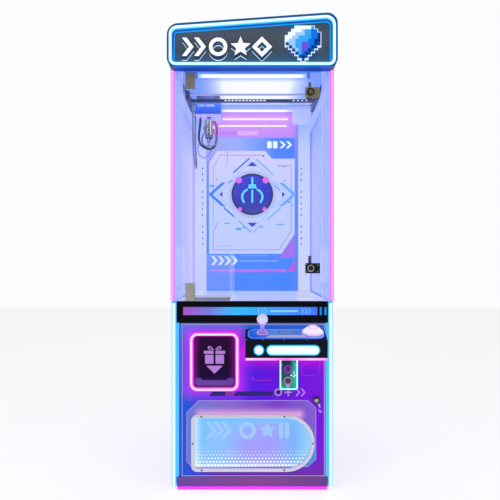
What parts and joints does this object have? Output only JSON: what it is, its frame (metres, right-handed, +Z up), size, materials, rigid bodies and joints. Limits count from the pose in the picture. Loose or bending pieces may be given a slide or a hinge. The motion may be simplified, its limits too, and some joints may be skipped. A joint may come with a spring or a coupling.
{
  "type": "claw crane machine",
  "caption": "Free-standing arcade claw crane with a glass cabin, a travelling claw, a joystick console, a prize flap, lit edges and a lit sign.",
  "frame": {"origin": "floor level, at the middle of the machine's box with its console", "axes": "+Z up, +X to the player's right, -Y towards the player"},
  "size_m": [0.666, 0.76, 1.885],
  "materials": {
    "plinth_paint": "satin powder coat",
    "foot_rubber": "matt moulded",
    "side_laminate": "board with gloss printed laminate",
    "back_sheet": "satin powder coat",
    "black_gloss": "high gloss",
    "white_gloss": "gloss",
    "duct_white": "satin",
    "clear_acrylic": "polished",
    "post_white": "gloss",
    "clear_glass": "polished",
    "rear_print": "printed film",
    "roof_paint": "satin powder coat",
    "lamp_white": "lit diffuser",
    "lamp_magenta": "lit silicone tube",
    "lamp_cyan": "lit silicone tube",
    "sign_paint": "gloss",
    "sign_face": "satin acrylic",
    "figure_white": "gloss acrylic",
    "rail_steel": "brushed",
    "tray_steel": "zinc plated",
    "inlet_black": "moulded",
    "bin_grey": "moulded",
    "bridge_black": "satin",
    "cable_grey": "satin",
    "axle_steel": "turned",
    "cover_blue": "gloss",
    "cord_black": "satin",
    "drum_nylon": "moulded",
    "coil_chrome": "plated",
    "plunger_brass": "turned",
    "finger_chrome": "polished",
    "shoe_nickel": "satin nickel",
    "latch_brass": "aged",
    "latch_black": "satin",
    "door_print": "printed film on board",
    "trim_grey": "satin",
    "window_lit": "lit acrylic",
    "lock_steel": "polished",
    "flap_dark": "tinted acrylic",
    "coin_green": "gloss",
    "button_plum": "translucent",
    "console_blue": "gloss",
    "gimbal_black": "moulded",
    "stick_lilac": "translucent",
    "dome_white": "lit dome"
  },
  "bodies": {
    "cabinet": {"base_pan": "plinth_paint", "levelling_feet": "foot_rubber", "side_panels": "side_laminate", "back_panel": "back_sheet", "fascia_band": "black_gloss", "deck": "white_gloss", "prize_chute": "duct_white", "prize_guard": "clear_acrylic", "cabin_posts": "post_white", "side_glass": "clear_glass", "rear_graphic": "rear_print", "roof_pan": "roof_paint", "ceiling_panel": "white_gloss", "front_light_tube": "lamp_white", "cabin_edge_lights": "lamp_magenta", "lower_edge_lights": "lamp_cyan", "base_light_strip": "lamp_magenta", "marquee_housing": "sign_paint", "marquee_face": "sign_face", "marquee_neon": "lamp_cyan", "marquee_figures": "figure_white", "gantry_rails": "rail_steel", "motor_box": "white_gloss", "electronics_tray": "tray_steel", "mains_inlet": "inlet_black"},
    "cash_bin": {"cash_bin": "bin_grey"},
    "bridge": {"bridge_frame": "bridge_black", "gantry_cable": "cable_grey"},
    "bridge_drive": {"bridge_drive_axle": "axle_steel"},
    "bridge_idler": {"bridge_idler_axle": "axle_steel"},
    "carriage": {"carriage_frame": "rail_steel", "carriage_cover": "cover_blue", "hoist_cord": "cord_black", "claw_cable": "cord_black"},
    "carriage_drive": {"carriage_drive_axle": "axle_steel"},
    "carriage_idler": {"carriage_idler_axle": "axle_steel"},
    "drum": {"hoist_drum": "drum_nylon"},
    "claw": {"claw_body": "coil_chrome"},
    "plunger": {"claw_plunger": "plunger_brass"},
    "finger_front": {"claw_finger_front": "finger_chrome"},
    "finger_right": {"claw_finger_right": "finger_chrome"},
    "finger_left": {"claw_finger_left": "finger_chrome"},
    "front_glass": {"glass_door": "clear_glass", "glass_door_fittings": "shoe_nickel"},
    "latch_top": {"upper_latch": "latch_brass"},
    "latch_low": {"lower_latch": "latch_black"},
    "door": {"service_door": "door_print", "window_trim": "trim_grey", "window_pane": "window_lit", "prize_neon": "lamp_magenta", "coin_plate": "coin_green", "console_housing": "black_gloss", "console_panel": "console_blue", "console_lights": "lamp_white"},
    "door_lock": {"service_lock": "lock_steel"},
    "flap": {"prize_flap": "flap_dark"},
    "reject_button": {"coin_reject_button": "button_plum"},
    "gimbal": {"joystick_gimbal": "gimbal_black"},
    "stick": {"joystick": "stick_lilac"},
    "start": {"start_button": "dome_white"}
  },
  "joints": [
    {"name": "glass_door_hinge", "type": "hinge", "parent": "cabinet", "child": "front_glass", "pos_m": [-0.262, -0.274, 1.215], "axis": [0, 0, -1], "range_deg": [0, 100]},
    {"name": "upper_latch_turn", "type": "hinge", "parent": "front_glass", "child": "latch_top", "pos_m": [0.233, -0.274, 1.592], "axis": [0, 1, 0], "range_deg": [0, 90]},
    {"name": "lower_latch_turn", "type": "hinge", "parent": "front_glass", "child": "latch_low", "pos_m": [0.233, -0.274, 0.889], "axis": [0, 1, 0], "range_deg": [0, 90]},
    {"name": "service_door_hinge", "type": "hinge", "parent": "cabinet", "child": "door", "pos_m": [-0.284, -0.272, 0.3625], "axis": [0, 0, -1], "range_deg": [0, 95]},
    {"name": "service_lock_turn", "type": "hinge", "parent": "door", "child": "door_lock", "pos_m": [0.256, -0.272, 0.362], "axis": [0, -1, 0], "range_deg": [0, 90]},
    {"name": "prize_flap_swing", "type": "hinge", "parent": "door", "child": "flap", "pos_m": [-0.1515, -0.272, 0.612], "axis": [1, 0, 0], "range_deg": [0, 65]},
    {"name": "coin_reject_press", "type": "slide", "parent": "door", "child": "reject_button", "axis": [0, 1, 0], "range_m": [0, 0.005], "stiffness_N_per_m": 300, "springref_m": -0.003},
    {"name": "start_button_press", "type": "slide", "parent": "door", "child": "start", "axis": [0, 0.2773, -0.9608], "range_m": [0, 0.004], "stiffness_N_per_m": 600, "springref_m": -0.004},
    {"name": "joystick_front_back", "type": "hinge", "parent": "door", "child": "gimbal", "pos_m": [0.039, -0.321, 0.61855], "axis": [1, 0, 0], "range_deg": [-10, 10], "stiffness_Nm_per_rad": 1.2},
    {"name": "joystick_left_right", "type": "hinge", "parent": "gimbal", "child": "stick", "pos_m": [0.039, -0.321, 0.61855], "axis": [0, 0.9608, 0.2773], "range_deg": [-10, 10], "stiffness_Nm_per_rad": 1.2},
    {"name": "cash_bin_lift", "type": "slide", "parent": "cabinet", "child": "cash_bin", "axis": [0, 0, 1], "range_m": [0, 0.05]},
    {"name": "bridge_travel", "type": "slide", "parent": "cabinet", "child": "bridge", "axis": [0, 1, 0], "range_m": [0, 0.37]},
    {"name": "bridge_drive_spin", "type": "hinge", "parent": "bridge", "child": "bridge_drive", "pos_m": [0, -0.188, 1.61605], "axis": [-1, 0, 0], "continuous": true},
    {"name": "bridge_idler_spin", "type": "hinge", "parent": "bridge", "child": "bridge_idler", "pos_m": [0, -0.052, 1.61605], "axis": [-1, 0, 0], "continuous": true},
    {"name": "carriage_travel", "type": "slide", "parent": "bridge", "child": "carriage", "axis": [1, 0, 0], "range_m": [0, 0.38]},
    {"name": "carriage_drive_spin", "type": "hinge", "parent": "carriage", "child": "carriage_drive", "pos_m": [-0.223, -0.12, 1.61405], "axis": [0, 1, 0], "continuous": true},
    {"name": "carriage_idler_spin", "type": "hinge", "parent": "carriage", "child": "carriage_idler", "pos_m": [-0.153, -0.12, 1.61405], "axis": [0, 1, 0], "continuous": true},
    {"name": "hoist_drop", "type": "slide", "parent": "carriage", "child": "claw", "axis": [0, 0, -1], "range_m": [0, 0.5], "deforming": ["hoist_cord", "claw_cable"]},
    {"name": "hoist_drum_spin", "type": "hinge", "parent": "carriage", "child": "drum", "pos_m": [-0.1711, -0.12, 1.566], "axis": [0, 1, 0], "continuous": true},
    {"name": "plunger_stroke", "type": "slide", "parent": "claw", "child": "plunger", "axis": [0, 0, -1], "range_m": [0, 0.008]},
    {"name": "finger_front_swing", "type": "hinge", "parent": "claw", "child": "finger_front", "pos_m": [-0.188, -0.142, 1.499], "axis": [-1, 0, 0], "range_deg": [0, 33]},
    {"name": "finger_right_swing", "type": "hinge", "parent": "claw", "child": "finger_right", "pos_m": [-0.16895, -0.109, 1.499], "axis": [0.5, -0.866, 0], "range_deg": [0, 33]},
    {"name": "finger_left_swing", "type": "hinge", "parent": "claw", "child": "finger_left", "pos_m": [-0.20705, -0.109, 1.499], "axis": [0.5, 0.866, 0], "range_deg": [0, 33]}
  ],
  "couplings": [
    {"joint": "bridge_drive_spin", "follows": "bridge_travel", "rad_per_m": 82.988},
    {"joint": "bridge_idler_spin", "follows": "bridge_travel", "rad_per_m": 82.988},
    {"joint": "carriage_drive_spin", "follows": "carriage_travel", "rad_per_m": 99.502},
    {"joint": "carriage_idler_spin", "follows": "carriage_travel", "rad_per_m": 99.502},
    {"joint": "hoist_drum_spin", "follows": "hoist_drop", "rad_per_m": -59.172},
    {"joint": "finger_front_swing", "follows": "plunger_stroke", "rad_per_m": 69.813},
    {"joint": "finger_right_swing", "follows": "plunger_stroke", "rad_per_m": 69.813},
    {"joint": "finger_left_swing", "follows": "plunger_stroke", "rad_per_m": 69.813}
  ]
}
